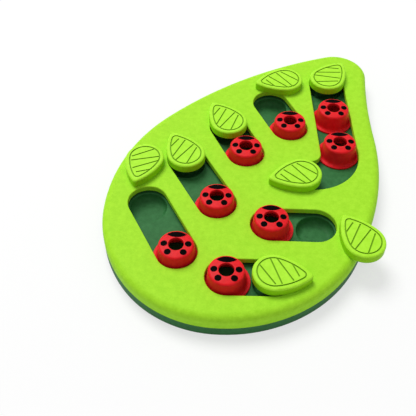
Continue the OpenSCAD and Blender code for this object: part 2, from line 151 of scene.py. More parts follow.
def blended(tree, share, first, second):
    """Two colours, mixed by a share from 0 to 1. The node's colour sockets are 6, 7 and, going out, 2."""
    made = tree.nodes.new("ShaderNodeMix")
    made.data_type = "RGBA"
    tree.links.new(share, made.inputs[0])
    for socket, tone in ((made.inputs[6], first), (made.inputs[7], second)):
        if isinstance(tone, bpy.types.NodeSocket):
            tree.links.new(tone, socket)
        else:
            socket.default_value = tone
    return made.outputs[2]


print("pattern helpers ready")

# %% [markdown]
# ## Moulded plastic
#
# The cover, the lids, the tray and the ladybugs are all moulded plastic. They differ in colour, in
# gloss and in how coarse their grain is, so one function makes them all. The patterns read Object
# coordinates, so they stay on a piece when it slides or turns. The specular level is below the usual
# half, because a fine grain scatters the sheen of bare plastic. The ladybugs' walls are thin and
# lightly pigmented, so some light goes through them and the inside of the hole glows a dark red. That
# is subsurface scattering, and its reach is longest in red.

# %% Make the moulded plastics
cloud_scale, grain_share = 220.0, 0.35
deep_stop, bright_stop = 0.36, 0.64
cloud_wear, grain_wear = 0.12, 0.09


def moulded_plastic(name, deep, bright, roughness, grain, depth, sheen):
    """A plastic between two tones, with a grain of a given scale and depth."""
    finish, tree, shader = blank_finish(name)
    place = tree.nodes.new("ShaderNodeTexCoord").outputs["Object"]
    clouds = noise(tree, place, cloud_scale, detail=5.0)
    fine = noise(tree, place, grain, detail=2.0)
    cloud_part = sum_of(tree, "MULTIPLY", clouds, 1 - grain_share)
    speckle = sum_of(tree, "MULTIPLY_ADD", fine, grain_share, cloud_part)
    body = tones(tree, speckle, [(deep_stop, deep), (bright_stop, bright)])
    tree.links.new(body, shader.inputs["Base Color"])
    grain_part = between(tree, fine, roughness - grain_wear, roughness)
    rubbed = sum_of(tree, "MULTIPLY_ADD", clouds, cloud_wear, grain_part)
    tree.links.new(rubbed, shader.inputs["Roughness"])
    bump = add(tree, "ShaderNodeBump", Strength=0.4, Distance=depth, Height=fine)
    tree.links.new(bump.outputs["Normal"], shader.inputs["Normal"])
    shader.inputs["Specular IOR Level"].default_value = sheen
    return finish, tree, shader, body


cover_lime = moulded_plastic(
    "cover_lime", colour(160, 225, 40), colour(175, 238, 52),
    roughness=0.58, grain=900.0, depth=0.0003, sheen=0.1)[0]
tray_green = moulded_plastic(
    "tray_green", colour(42, 102, 52), colour(58, 120, 68),
    roughness=0.55, grain=1300.0, depth=0.00012, sheen=0.12)[0]
bug_red, _, bug_shader, _ = moulded_plastic(
    "bug_red", colour(224, 22, 30), colour(242, 32, 40),
    roughness=0.45, grain=1700.0, depth=0.00008, sheen=0.12)
bug_shader.inputs["Subsurface Weight"].default_value = 0.3
bug_shader.inputs["Subsurface Radius"].default_value = (1.0, 0.12, 0.1)
bug_shader.inputs["Subsurface Scale"].default_value = 0.004
spot_black = moulded_plastic(
    "spot_black", colour(2, 1, 1), colour(7, 4, 4),
    roughness=0.55, grain=1700.0, depth=0.00006, sheen=0.015)[0]
print("plastics:", cover_lime.name, tray_green.name, bug_red.name, spot_black.name)

# %% [markdown]
# ## Lids with painted shade in their lines and on their sides
#
# The lines in a lid are grooves in the mould's face, and little light gets down into them, so their
# floors and walls are painted a darker green: painted shade. A groove could be picked by a painted mask or
# a vertex group, but the solid says enough: a groove's floor is level and lies below the lid's top face,
# and its walls are upright and close to the top, where the lid's own edge is still round. Tests of height
# and facing find both, in any turn of the lid. They also pick out the lid's upright sides, further down.
# Those get a slightly deeper tone, which is painted shade: the sides catch less of the lamp than the top.

# %% Make the lids' finish
lid_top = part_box("leaf_cover_1")[1][2]
groove_depth, groove_slack, wall_reach = 0.0008, 0.0003, 0.00085
level_facing, upright_facing = 0.9, 0.3
# Painted shade: a deeper green for the lids' upright sides, and a darker one for their grooves
painted_side_shade, painted_groove_shade = colour(152, 214, 20), colour(120, 176, 12)
leaf_lime, leaf_tree, leaf_shader, leaf_body = moulded_plastic(
    "leaf_lime", colour(170, 237, 44), colour(185, 250, 62),
    roughness=0.52, grain=1500.0, depth=0.0001, sheen=0.12)
leaf_place = leaf_tree.nodes.new("ShaderNodeTexCoord").outputs["Object"]
leaf_height = add(leaf_tree, "ShaderNodeSeparateXYZ", Vector=leaf_place).outputs["Z"]
leaf_facing = leaf_tree.nodes.new("ShaderNodeNewGeometry").outputs["True Normal"]
upward = add(leaf_tree, "ShaderNodeSeparateXYZ", Vector=leaf_facing).outputs["Z"]
below_top = sum_of(leaf_tree, "SUBTRACT", lid_top, leaf_height)
sunk = sum_of(leaf_tree, "COMPARE", below_top, groove_depth, groove_slack)
level = sum_of(leaf_tree, "GREATER_THAN", upward, level_facing)
floor_share = sum_of(leaf_tree, "MULTIPLY", sunk, level)
shallow = sum_of(leaf_tree, "LESS_THAN", below_top, wall_reach)
upright = sum_of(leaf_tree, "LESS_THAN", upward, upright_facing)
wall_share = sum_of(leaf_tree, "MULTIPLY", shallow, upright)
# Painted shade on the groove floors and walls, where little light gets down
groove_shade_share = sum_of(leaf_tree, "MAXIMUM", floor_share, wall_share)
# Painted shade on the lids' upright sides below the round edge, which catch less light than the top
side_shade_share = sum_of(leaf_tree, "MULTIPLY", upright, sum_of(leaf_tree, "SUBTRACT", 1.0, shallow))
leaf_shaded_sides = blended(leaf_tree, side_shade_share, leaf_body, painted_side_shade)
leaf_tones = blended(leaf_tree, groove_shade_share, leaf_shaded_sides, painted_groove_shade)
leaf_tree.links.new(leaf_tones, leaf_shader.inputs["Base Color"])
print("lid tops at", round(1000 * lid_top, 2), "mm")

# %% [markdown]
# ## Give the solids their finishes
#
# A node of the frame is never moved or reshaped. It only gets another material in its slot.

# %% Dress the solids


def dress(node_name, finish):
    """Gives a node of the frame one finish."""
    mesh = nodes[node_name].data
    mesh.materials.clear()
    mesh.materials.append(finish)


dress("top_cover", cover_lime)
dress("base_tray", tray_green)
for i in numbers:
    dress(f"ladybug_shell_{i}", bug_red)
    dress(f"ladybug_spots_{i}", spot_black)
    dress(f"leaf_cover_{i}", leaf_lime)
print("dressed", 2 + 3 * len(numbers), "nodes")

# %% [markdown]
# ## Zinc and rubber
#
# The screws are zinc-plated steel: a metal whose plating is a little cloudy, so its roughness drifts.
# The feet are soft rubber, almost black, dull, with a fine dusty bloom on it.

# %% Make the zinc and the rubber
zinc, zinc_tree, zinc_shader = blank_finish("zinc")
zinc_place = zinc_tree.nodes.new("ShaderNodeTexCoord").outputs["Object"]
plating = noise(zinc_tree, zinc_place, scale=900.0, detail=4.0)
dull_zinc, clear_zinc = (0.52, 0.53, 0.55, 1.0), (0.7, 0.71, 0.72, 1.0)
zinc_tone = tones(zinc_tree, plating, [(0.3, dull_zinc), (0.7, clear_zinc)])
zinc_tree.links.new(zinc_tone, zinc_shader.inputs["Base Color"])
zinc_gloss = between(zinc_tree, plating, low=0.26, high=0.44)
zinc_tree.links.new(zinc_gloss, zinc_shader.inputs["Roughness"])
zinc_shader.inputs["Metallic"].default_value = 1.0

rubber, rubber_tree, rubber_shader = blank_finish("foot_rubber")
rubber_place = rubber_tree.nodes.new("ShaderNodeTexCoord").outputs["Object"]
bloom = noise(rubber_tree, rubber_place, scale=500.0, detail=5.0)
rubber_tone = tones(rubber_tree, bloom, [(0.35, colour(34, 34, 35)), (0.7, colour(58, 58, 58))])
rubber_tree.links.new(rubber_tone, rubber_shader.inputs["Base Color"])
rubber_gloss = between(rubber_tree, bloom, low=0.74, high=0.92)
rubber_tree.links.new(rubber_gloss, rubber_shader.inputs["Roughness"])
rubber_grain = add(rubber_tree, "ShaderNodeBump", Strength=0.3, Distance=0.0001, Height=bloom)
rubber_tree.links.new(rubber_grain.outputs["Normal"], rubber_shader.inputs["Normal"])

dress("case_screws", zinc)
dress("rubber_feet", rubber)
for i in numbers:
    dress(f"leaf_screw_{i}", zinc)
print("metal and rubber:", zinc.name, rubber.name, "on", 2 + len(numbers), "nodes")

# %% [markdown]
# ## A workshop for what repeats
#
# The ladybugs, the lids, the feet, the case's screws and the lids' screws all come eight times.
# Geometry Nodes make such pieces from a few sizes, or take a pattern, and put a copy on every point
# of a bare mesh, so one tree serves all the copies. They are realized into real mesh at the end, and
# the result is kept as a plain mesh. It is shaded smooth, except at creases.

# %% Helpers for the trees


def new_tree(name, sizes):
    """An empty tree with points coming in, one named input for each size, and a finish."""
    tree = bpy.data.node_groups.new(name, "GeometryNodeTree")
    tree.interface.new_socket("Places", in_out="INPUT", socket_type="NodeSocketGeometry")
    for label in sizes:
        tree.interface.new_socket(label, in_out="INPUT", socket_type="NodeSocketFloat")
    tree.interface.new_socket("Finish", in_out="INPUT", socket_type="NodeSocketMaterial")
    tree.interface.new_socket("Geometry", in_out="OUTPUT", socket_type="NodeSocketGeometry")
    return tree, tree.nodes.new("NodeGroupInput").outputs


def lifted(tree, shape, height):
    """A shape, moved along Z by a number or a socket."""
    place = add(tree, "ShaderNodeCombineXYZ", Z=height).outputs["Vector"]
    return add(tree, "GeometryNodeTransform", Geometry=shape, Translation=place).outputs["Geometry"]


def end_tree(tree, given, shapes):
    """Joins the shapes, puts a copy on every place, and makes it real and finished."""
    joined = tree.nodes.new("GeometryNodeJoinGeometry")
    for shape in shapes:
        tree.links.new(shape, joined.inputs["Geometry"])
    copies = add(tree, "GeometryNodeInstanceOnPoints", Points=given["Places"], Instance=joined.outputs[0])
    real = add(tree, "GeometryNodeRealizeInstances", Geometry=copies.outputs["Instances"])
    dressed = add(tree, "GeometryNodeSetMaterial", Geometry=real.outputs[0], Material=given["Finish"])
    out = tree.nodes.new("NodeGroupOutput")
    tree.links.new(dressed.outputs["Geometry"], out.inputs["Geometry"])


crease = math.radians(30)


def made_on(name, tree, places, sizes):
    """Runs a tree on a mesh of bare points and keeps the result as a plain mesh at the origin."""
    points = bpy.data.meshes.new(name + "_places")
    points.from_pydata(places, [], [])
    piece = bpy.data.objects.new(name, points)
    scene.collection.objects.link(piece)
    maker = piece.modifiers.new("maker", "NODES")
    maker.node_group = tree
    for socket in tree.interface.items_tree:
        if socket.in_out == "INPUT" and socket.name in sizes:
            maker[socket.identifier] = sizes[socket.name]
    graph = bpy.context.evaluated_depsgraph_get()
    plain = bpy.data.meshes.new_from_object(piece.evaluated_get(graph))
    piece.modifiers.remove(maker)
    piece.data = plain
    plain.name = name
    plain.shade_smooth()
    plain.set_sharp_from_angle(angle=crease)
    bpy.data.meshes.remove(points)
    return piece


print("tree helpers ready")

# %% [markdown]
# ## A ladybug's profile
#
# A ladybug is a hollow cup, turned upside down: a flange that runs under the slot's lip, a flare, a
# side with a slight taper, a tight shoulder and a top that is almost flat, with a hole that treats
# drop through. Such a shape is turned from half a profile. The shoulder has to meet both the side and
# the top without a kink, so its middle is worked out from the two. Lengths are in millimetres here,
# as on a drawing.

# %% Draw the profile
flange_low, flange_top, flange_r = 17.3, 18.9, 21.3
flange_edge = 0.4
side_r, side_taper = 17.6, math.radians(6)
flare_r, shoulder_r, top_r = 2.6, 2.4, 110.0
hole_r, hole_edge = 6.8, 0.45
wall, ceiling, corner_r = 1.8, 32.9, 1.2
spot_proud = 0.1
crown = 1000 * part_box("ladybug_shell_1")[1][2] - spot_proud + hole_r ** 2 / (2 * top_r)
top_middle = Vector((0.0, crown - top_r))
outward = Vector((math.cos(side_taper), math.sin(side_taper)))
upward_side = Vector((-outward.y, outward.x))
side_foot = Vector((side_r, flange_low))


def meets_side(height, inset):
    """The middle of an arc that touches the side, at a height; a negative inset is outside."""
    start = side_foot - inset * outward
    return start + upward_side * (height - start.y) / upward_side.y


def arc(middle, radius, first, last, steps):
    """Points on an arc from one angle to another, in radians."""
    turns = [first + (last - first) * k / steps for k in range(steps + 1)]
    return [(middle.x + radius * math.cos(a), middle.y + radius * math.sin(a)) for a in turns]


inner_side = side_foot - shoulder_r * outward - top_middle
along_side = inner_side.dot(upward_side)
lift = math.sqrt((top_r - shoulder_r) ** 2 - inner_side.length_squared + along_side ** 2) - along_side
shoulder_middle = top_middle + inner_side + lift * upward_side
meeting = shoulder_middle - top_middle
shoulder_end = math.atan2(meeting.y, meeting.x)
flare_middle = meets_side(flange_top + flare_r, -flare_r)
hole_turn = math.acos((hole_r + hole_edge) / top_r)
hole_top = top_middle.y + top_r * math.sin(hole_turn)
edge_middle = Vector((hole_r + hole_edge, hole_top - hole_edge))
corner_middle = meets_side(ceiling - corner_r, wall + corner_r)
inner_foot = side_foot - wall * outward
rim_middle = Vector((flange_r - flange_edge, flange_top - flange_edge))
quarter = math.pi / 2
profile = [(inner_foot.x, flange_low), (flange_r, flange_low)]
profile += arc(rim_middle, flange_edge, 0, quarter, steps=4)
profile += arc(flare_middle, flare_r, 3 * quarter, 2 * quarter + side_taper, steps=8)
profile += arc(shoulder_middle, shoulder_r, side_taper, shoulder_end, steps=10)
profile += arc(top_middle, top_r, shoulder_end, hole_turn, steps=6)[1:]
profile += arc(edge_middle, hole_edge, quarter, 2 * quarter, steps=4)[1:]
profile += [(hole_r, ceiling)]
profile += arc(corner_middle, corner_r, quarter, side_taper, steps=5)
print("profile:", len(profile), "points; crown at", round(crown, 2), "mm")

# %% [markdown]
# ## Turn the shell and inlay the spots
#
# Blender's Screw modifier or a spin would turn the profile too. Writing the rings of points gives the
# same mesh with no seam. The spots are black pieces set into the top, so each is a thin solid whose
# upper face follows the top a tenth of a millimetre above it. Two crossing circles give the lens of
# the head patch.

# %% Turn one ladybug
turn_steps = 96


def pattern(name, points, faces):
    """A pattern to copy, in metres, from points in millimetres."""
    mesh = bpy.data.meshes.new(name)
    mesh.from_pydata([(x / 1000, y / 1000, z / 1000) for x, y, z in points], [], faces)
    return bpy.data.objects.new(name, mesh)


def turned(name, outline, steps):
    """A closed half profile of (radius, height), turned about Z."""
    points = []
    faces = []
    count = len(outline)
    for step in range(steps):
        turn = 2 * math.pi * step / steps
        points += [(r * math.cos(turn), r * math.sin(turn), z) for r, z in outline]
        here, there = step * count, (step + 1) % steps * count
        for k in range(count):
            n = (k + 1) % count
            faces.append((here + k, there + k, there + n, here + n))
    return pattern(name, points, faces)


def top_height(x, y):
    """How high a ladybug's top is, at a place."""
    return crown - (x * x + y * y) / (2 * top_r)


def inlays(name, outlines, rings, proud, depth):
    """Thin solids with the given outlines, whose upper faces follow the ladybug's top."""
    points = []
    faces = []
    for outline in outlines:
        count = len(outline)
        base = len(points)
        mid_x = sum(x for x, _ in outline) / count
        mid_y = sum(y for _, y in outline) / count
        for ring in range(rings):
            share = 1 - ring / rings
            for x, y in outline:
                x, y = mid_x + share * (x - mid_x), mid_y + share * (y - mid_y)
                points.append((x, y, top_height(x, y) + proud))
        points.append((mid_x, mid_y, top_height(mid_x, mid_y) + proud))
        middle = base + rings * count
        low = len(points)
        points += [(x, y, crown - depth) for x, y in outline]
        for k in range(count):
            n = (k + 1) % count
            for ring in range(rings - 1):
                here, inner = base + ring * count, base + (ring + 1) * count
                faces.append((here + k, here + n, inner + n, inner + k))
            last = base + (rings - 1) * count
            faces.append((last + k, last + n, middle))
            faces.append((low + k, low + n, base + n, base + k))
        faces.append(tuple(low + k for k in reversed(range(count))))
    return pattern(name, points, faces)


def ring_at(x, y, radius, steps):
    """Points on a circle."""
    turns = [2 * math.pi * k / steps for k in range(steps)]
    return [(x + radius * math.cos(a), y + radius * math.sin(a)) for a in turns]


def lens(y, width, depth, steps):
    """Points round a lens: two equal arcs that cross at its ends."""
    half = width / 2
    bow = (half ** 2 + depth ** 2 / 4) / depth
    reach = math.asin(half / bow)
    near = Vector((0.0, y + bow - depth / 2))
    far = Vector((0.0, y - bow + depth / 2))
    lower = arc(near, bow, -quarter - reach, -quarter + reach, steps)
    upper = arc(far, bow, quarter - reach, quarter + reach, steps)
    return lower[:-1] + upper[:-1]


spot_r = 3.0
spot_places = [(10.7, 0.5), (-10.7, 0.5), (6.9, -8.5), (-6.9, -8.5)]
spot_outlines = [ring_at(x, y, spot_r, steps=32) for x, y in spot_places]
head_patch = lens(y=10.7, width=17.6, depth=6.5, steps=20)
shell_pattern = turned("shell_pattern", profile, turn_steps)
spot_pattern = inlays(
    "spot_pattern", spot_outlines + [head_patch], rings=4, proud=spot_proud, depth=2.2)
print("shell:", len(shell_pattern.data.polygons), "faces")
print("spots:", len(spot_pattern.data.polygons), "faces")

# %% [markdown]
# ## Eight ladybugs
#
# All eight face the same way, so a copy at each one's place is enough. Each has to slide by itself,
# so each becomes its own mesh.

# %% Set out the ladybugs
copy_tree, given = new_tree("copies", ["Turn"])
copy_tree.interface.new_socket("Pattern", in_out="INPUT", socket_type="NodeSocketObject")
pattern_shape = add(copy_tree, "GeometryNodeObjectInfo", Object=given["Pattern"]).outputs["Geometry"]
heading = add(copy_tree, "ShaderNodeCombineXYZ", Z=given["Turn"]).outputs["Vector"]
turned_shape = add(copy_tree, "GeometryNodeTransform", Geometry=pattern_shape, Rotation=heading)
end_tree(copy_tree, given, [turned_shape.outputs["Geometry"]])
for i in numbers:
    low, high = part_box(f"ladybug_shell_{i}")
    place = ((low[0] + high[0]) / 2, (low[1] + high[1]) / 2, 0.0)
    shell = made_on(
        f"ladybug_turned_{i}", copy_tree, [place], {"Pattern": shell_pattern, "Finish": bug_red})
    spots = made_on(
        f"ladybug_inlays_{i}", copy_tree, [place], {"Pattern": spot_pattern, "Finish": spot_black})
    for piece, slot, node in ((shell, "red", "shell"), (spots, "black", "spots")):
        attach(piece, f"ladybug_{i}")
        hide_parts(f"ladybug_{node}_{i}")
bpy.data.objects.remove(shell_pattern)
bpy.data.objects.remove(spot_pattern)
print("ladybugs:", len(shell.data.polygons), "+", len(spots.data.polygons), "faces each")

# %% [markdown]
# ## A lid's outline
#
# A lid is a leaf: a round end, two long sides and a rounded tip, all arcs that meet without a kink.
# Its engraved outline follows the edge. Drawn in that far, the tip would come to a point, so the
# engraved outline gets a tip circle of its own. Here x runs from the pivot towards the round end.

# %% Draw the lid
lid_r, lid_side_r, tip_r = 18.8, 55.7, 3.5
lid_middle, tip_middle = Vector((27.0, 0.0)), Vector((-2.7, 0.0))
lid_low, lid_high = 25.7, 1000 * lid_top
lid_edge, lid_wall = 2.0, 2.2
line_in, line_width, line_depth, line_tip_r = 3.6, 1.3, 0.8, 4.4
to_tip, to_round = lid_side_r - tip_r, lid_side_r - lid_r
span = lid_middle.x - tip_middle.x
along_axis = (to_tip ** 2 - to_round ** 2 + span ** 2) / (2 * span)
side_middle = tip_middle + Vector((along_axis, -math.sqrt(to_tip ** 2 - along_axis ** 2)))
line_reach = math.sqrt((lid_side_r - line_in - line_tip_r) ** 2 - side_middle.y ** 2)
line_tip_middle = Vector((side_middle.x - line_reach, 0.0))


def leaf_ring(inset, middle, radius):
    """Points round the lid, drawn in by inset, with a tip of the given middle and radius."""
    to_end, to_point = lid_middle - side_middle, middle - side_middle
    end_turn, point_turn = math.atan2(to_end.y, to_end.x), math.atan2(to_point.y, to_point.x)
    half = arc(lid_middle, lid_r - inset, 0.0, end_turn, steps=24)
    half += arc(side_middle, lid_side_r - inset, end_turn, point_turn, steps=16)[1:]
    half += arc(middle, radius, point_turn, math.pi, steps=10)[1:]
    return half + [(x, -y) for x, y in reversed(half[1:-1])]


def edge_ring(inset):
    """The lid's own outline, drawn in by inset."""
    return leaf_ring(inset, tip_middle, tip_r - inset)


def line_ring(inset):
    """The engraved outline, drawn in by inset."""
    return leaf_ring(inset, line_tip_middle, line_tip_r + line_in - inset)


def stacked(name, stacks):
    """Closed solids: stacks of (ring, height), each capped or joined back to its first ring."""
    points = []
    faces = []
    for rings, capped in stacks:
        base, count = len(points), len(rings[0][0])
        for ring, height in rings:
            points += [(x, y, height) for x, y in ring]
        for level in range(len(rings) - 1 if capped else len(rings)):
            here = base + level * count
            there = base + (level + 1) % len(rings) * count
            for k in range(count):
                n = (k + 1) % count
                faces.append((here + k, here + n, there + n, there + k))
        if capped:
            last = base + (len(rings) - 1) * count
            faces.append(tuple(base + k for k in reversed(range(count))))
            faces.append(tuple(last + k for k in range(count)))
    return pattern(name, points, faces)


def vein(start, end):
    """A straight line's four corners."""
    start, end = Vector(start), Vector(end)
    aside = (end - start).normalized().orthogonal() * line_width / 2
    return [tuple(corner) for corner in (start - aside, end - aside, end + aside, start + aside)]


inside, edge_steps, cutter_rise = edge_ring(lid_wall), 6, 1.0
lid_rings = [(inside, lid_high - lid_wall), (inside, lid_low), (edge_ring(0.0), lid_low)]
for step in range(edge_steps + 1):
    lean = quarter * step / edge_steps
    inset = lid_edge * (1 - math.cos(lean))
    lid_rings.append((edge_ring(inset), lid_high - lid_edge * (1 - math.sin(lean))))
line_low, line_high = lid_high - line_depth, lid_high + cutter_rise
outer, inner = line_ring(line_in), line_ring(line_in + line_width)
line_rings = [(outer, line_low), (outer, line_high), (inner, line_high), (inner, line_low)]
# Each vein runs from its free end to its end in the engraved outline
vein_ends = [
    ((5.6, 2.2), (12.3, -10.2)), ((10.1, 7.1), (25.8, -14.6)),
    ((19.6, 11.6), (31.4, -13.9)), ((25.0, 12.6), (40.2, -6.2))]
vein_stacks = [([(vein(*ends), line_low), (vein(*ends), line_high)], True) for ends in vein_ends]
lid_blank = stacked("lid_blank", [(lid_rings, True)])
outline_cutter = stacked("outline_cutter", [(line_rings, False)])
vein_cutter = stacked("vein_cutter", vein_stacks)
print("lid blank:", len(lid_blank.data.polygons), "faces")

# %% [markdown]
# ## Carve the lids and set them out
#
# The lines are cut with one boolean, as a mill would cut them, before the lid is copied: the cut is
# made once, and eight lids share it. The peg below the lid goes through the cover. Each lid is turned
# to its own heading about its joint's place.

# %% Carve and place the lids
carve_tree, given = new_tree("carved_lid", ["Peg Radius", "Peg End", "Peg Height"])
for label in ("Blank", "Outline", "Veins"):
    carve_tree.interface.new_socket(label, in_out="INPUT", socket_type="NodeSocketObject")
carving = carve_tree.nodes.new("GeometryNodeMeshBoolean")
carving.operation = "DIFFERENCE"
carving.solver = "MANIFOLD"
for label, socket in (("Blank", "Mesh 1"), ("Outline", "Mesh 2"), ("Veins", "Mesh 2")):
    shape = add(carve_tree, "GeometryNodeObjectInfo", Object=given[label]).outputs["Geometry"]
    carve_tree.links.new(shape, carving.inputs[socket])
peg = add(
    carve_tree, "GeometryNodeMeshCylinder", Vertices=48,
    Radius=given["Peg Radius"], Depth=given["Peg Height"]).outputs["Mesh"]
peg_middle = sum_of(carve_tree, "MULTIPLY_ADD", given["Peg Height"], 0.5, given["Peg End"])
end_tree(carve_tree, given, [carving.outputs["Mesh"], lifted(carve_tree, peg, peg_middle)])
peg_end = 0.0197
peg_overlap = 0.2  # in millimetres, as the lid's sizes are
peg_top = (lid_high - lid_wall + peg_overlap) / 1000
lid_pattern = made_on("lid_pattern", carve_tree, [(0.0, 0.0, 0.0)], {
    "Blank": lid_blank, "Outline": outline_cutter, "Veins": vein_cutter, "Finish": leaf_lime,
    "Peg Radius": 0.003, "Peg End": peg_end, "Peg Height": peg_top - peg_end})
joint_places = {joint["name"]: joint.get("pos_m") for joint in frame["joints"]}
lid_headings = [78, -60.5, -57, 13, 299.5, 175, -124.5, 14.5]  # degrees, from pivot to round end
for i, degrees in enumerate(lid_headings, 1):
    x, y, _ = joint_places[f"leaf_{i}_swivel"]
    lid = made_on(f"lid_carved_{i}", copy_tree, [(x, y, 0.0)], {
        "Pattern": lid_pattern, "Turn": math.radians(degrees), "Finish": leaf_lime})
    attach(lid, f"leaf_{i}")
    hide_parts(f"leaf_cover_{i}")
for helper in (lid_pattern, lid_blank, outline_cutter, vein_cutter):
    bpy.data.objects.remove(helper)
print("lids:", len(lid.data.polygons), "faces each")

# %% [markdown]
# ## The screw
#
# Each screw hangs head down. Its washer bears on the plastic, the domed head below it has a cross
# recess for the driver, and the shank above it carries a thread. A thread could be a texture, but up
# close its edge shows, so a small triangle is swept along a spiral. The recess is cut with a boolean,
# from two crossed bars.

# %% Draw the screw's tree
screw_sizes = [
    "Head Radius", "Head Height", "Washer Radius", "Washer Thickness",
    "Shank Radius", "Shank Length", "Pitch"]
screw_tree, given = new_tree("screw", screw_sizes)
cutter_reach, into_washer_share = 3.0, 0.03
arm_share, slit_share, slit_depth_share = 1.2, 0.31, 1.2
core_share, straight_share, threaded_share = 0.8, 0.82, 0.9
tip_end_share, tip_foot_share, tip_seat_share = 0.25, 0.96, 0.98


def times(value, factor):
    """A size of the screw, multiplied."""
    return sum_of(screw_tree, "MULTIPLY", value, factor)


def bar(tree, length, width, height):
    """A block about the origin."""
    size = add(tree, "ShaderNodeCombineXYZ", X=length, Y=width, Z=height).outputs["Vector"]
    return add(tree, "GeometryNodeMeshCube", Size=size).outputs["Mesh"]


washer = add(
    screw_tree, "GeometryNodeMeshCylinder", Vertices=48,
    Radius=given["Washer Radius"], Depth=given["Washer Thickness"]).outputs["Mesh"]
washer = lifted(screw_tree, washer, times(given["Washer Thickness"], -0.5))

ball = add(screw_tree, "GeometryNodeMeshUVSphere", Segments=44, Rings=24, Radius=given["Head Radius"])
flatness = sum_of(screw_tree, "DIVIDE", given["Head Height"], given["Head Radius"])
squash = add(screw_tree, "ShaderNodeCombineXYZ", X=1.0, Y=1.0, Z=flatness).outputs["Vector"]
dome = add(screw_tree, "GeometryNodeTransform", Geometry=ball.outputs["Mesh"], Scale=squash)
reach = times(given["Head Radius"], cutter_reach)
into_washer = times(given["Head Height"], into_washer_share)
half_up = sum_of(screw_tree, "MULTIPLY_ADD", reach, 0.5, into_washer)
upper_half = lifted(screw_tree, bar(screw_tree, reach, reach, reach), half_up)
arm = times(given["Head Radius"], arm_share)
slit = times(given["Head Radius"], slit_share)
deep = times(given["Head Height"], slit_depth_share)
low = times(given["Head Height"], -1.0)
cut = screw_tree.nodes.new("GeometryNodeMeshBoolean")
cut.operation = "DIFFERENCE"
cut.solver = "MANIFOLD"
screw_tree.links.new(dome.outputs["Geometry"], cut.inputs["Mesh 1"])
for cutter in (
        upper_half,
        lifted(screw_tree, bar(screw_tree, arm, slit, deep), low),
        lifted(screw_tree, bar(screw_tree, slit, arm, deep), low)):
    screw_tree.links.new(cutter, cut.inputs["Mesh 2"])
head = lifted(screw_tree, cut.outputs["Mesh"], times(given["Washer Thickness"], -1.0))

core = times(given["Shank Radius"], core_share)
crest = times(given["Shank Radius"], 1 - core_share)
straight = times(given["Shank Length"], straight_share)
point = times(given["Shank Length"], 1 - straight_share)
rod = add(screw_tree, "GeometryNodeMeshCylinder", Vertices=24, Radius=core, Depth=straight).outputs["Mesh"]
rod = lifted(screw_tree, rod, times(straight, 0.5))
tip = add(
    screw_tree, "GeometryNodeMeshCone", Vertices=24, Radius_Top=times(core, tip_end_share),
    Radius_Bottom=times(core, tip_foot_share), Depth=point).outputs["Mesh"]
tip = lifted(screw_tree, tip, times(straight, tip_seat_share))
threaded = times(straight, threaded_share)
turns = sum_of(screw_tree, "DIVIDE", threaded, given["Pitch"])
climb = add(
    screw_tree, "GeometryNodeCurveSpiral", Resolution=24, Rotations=turns,
    Start_Radius=core, End_Radius=core, Height=threaded).outputs["Curve"]
ridge = add(screw_tree, "GeometryNodeCurvePrimitiveCircle", Resolution=3, Radius=crest).outputs["Curve"]
thread = add(screw_tree, "GeometryNodeCurveToMesh", Curve=climb, Profile_Curve=ridge, Fill_Caps=True)
thread = lifted(screw_tree, thread.outputs["Mesh"], crest)
end_tree(screw_tree, given, [washer, head, rod, tip, thread])
print("screw tree:", len(screw_tree.nodes), "nodes")

# %% [markdown]
# ## Screws under the cover and under the lids
#
# Eight screws go up through the tray into the cover's posts, and the feet sit over them. They all
# ride on the board, so they are one mesh. Each lid has its own screw, which turns with it, so those
# are eight meshes. The lids' places come from their joints.

# %% Drive the screws
case_plan = [
    (118, 134), (57, 128), (-60, 58), (-118, -72),
    (-74, -142), (74, -119), (113, -28), (-22, -97)]
case_seat = 0.014
case_places = [(x / 1000, y / 1000, case_seat) for x, y in case_plan]
case_screws = made_on("case_screws_threaded", screw_tree, case_places, {
    "Head Radius": 0.003, "Head Height": 0.0015, "Washer Radius": 0.0033, "Washer Thickness": 0.0005,
    "Shank Radius": 0.0015, "Shank Length": 0.0088, "Pitch": 0.0012, "Finish": zinc})
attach(case_screws, "board")
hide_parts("case_screws")
print("case screws:", len(case_screws.data.polygons), "faces")

for i in numbers:
    x, y, _ = joint_places[f"leaf_{i}_swivel"]
    leaf_screw = made_on(f"leaf_screw_threaded_{i}", screw_tree, [(x, y, peg_end)], {
        "Head Radius": 0.0025, "Head Height": 0.001, "Washer Radius": 0.0044, "Washer Thickness": 0.001,
        "Shank Radius": 0.00125, "Shank Length": 0.0043, "Pitch": 0.0009, "Finish": zinc})
    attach(leaf_screw, f"leaf_{i}")
    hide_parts(f"leaf_screw_{i}")
print("leaf screws:", len(leaf_screw.data.polygons), "faces each")

# %% [markdown]
# ## Ringed feet
#
# A foot is a soft disc with rings on its sole, which grip a smooth floor. A cylinder whose ends are
# divided into many circles is enough: the points of its lower end are raised by a wave that runs with
# their distance from the middle.

# %% Make the feet
foot_tree, given = new_tree("ringed_foot", ["Radius", "Height", "Ring Pitch", "Ring Depth"])
disc = add(
    foot_tree, "GeometryNodeMeshCylinder", Vertices=64, Side_Segments=3, Fill_Segments=23,
    Radius=given["Radius"], Depth=given["Height"]).outputs["Mesh"]
disc = lifted(foot_tree, disc, sum_of(foot_tree, "MULTIPLY", given["Height"], 0.5))
sole_slack = 0.00001
position = foot_tree.nodes.new("GeometryNodeInputPosition").outputs["Position"]
spot = add(foot_tree, "ShaderNodeSeparateXYZ", Vector=position).outputs
on_sole = sum_of(foot_tree, "LESS_THAN", spot["Z"], sole_slack)
across = sum_of(foot_tree, "MULTIPLY", spot["X"], spot["X"])
squared = sum_of(foot_tree, "MULTIPLY_ADD", spot["Y"], spot["Y"], across)
from_middle = sum_of(foot_tree, "SQRT", squared)
rings_out = sum_of(foot_tree, "DIVIDE", from_middle, given["Ring Pitch"])
